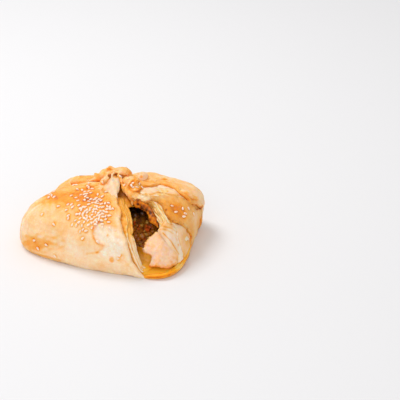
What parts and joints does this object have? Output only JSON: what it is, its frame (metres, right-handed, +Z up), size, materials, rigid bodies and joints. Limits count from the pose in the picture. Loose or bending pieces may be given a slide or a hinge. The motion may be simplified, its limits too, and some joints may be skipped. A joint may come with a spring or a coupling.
{
  "type": "meat khachapuri",
  "caption": "Baked puff-pastry envelope with its flaps folded to the middle and strewn with sesame, open at a corner over a filling of minced meat and carrot; rests on its flat base",
  "frame": {"origin": "on the floor, under the middle of the flat base", "axes": "+Z up; +X along the long side, toward the right flap; +Y toward the back flap; the open corner lies between +X and -Y"},
  "size_m": [0.1342, 0.1116, 0.0532],
  "materials": {
    "baked_dough": "satin, egg-washed and baked",
    "minced_meat": "moist"
  },
  "bodies": {
    "root": {"pastry": "baked_dough", "filling": "minced_meat"}
  },
  "joints": []
}
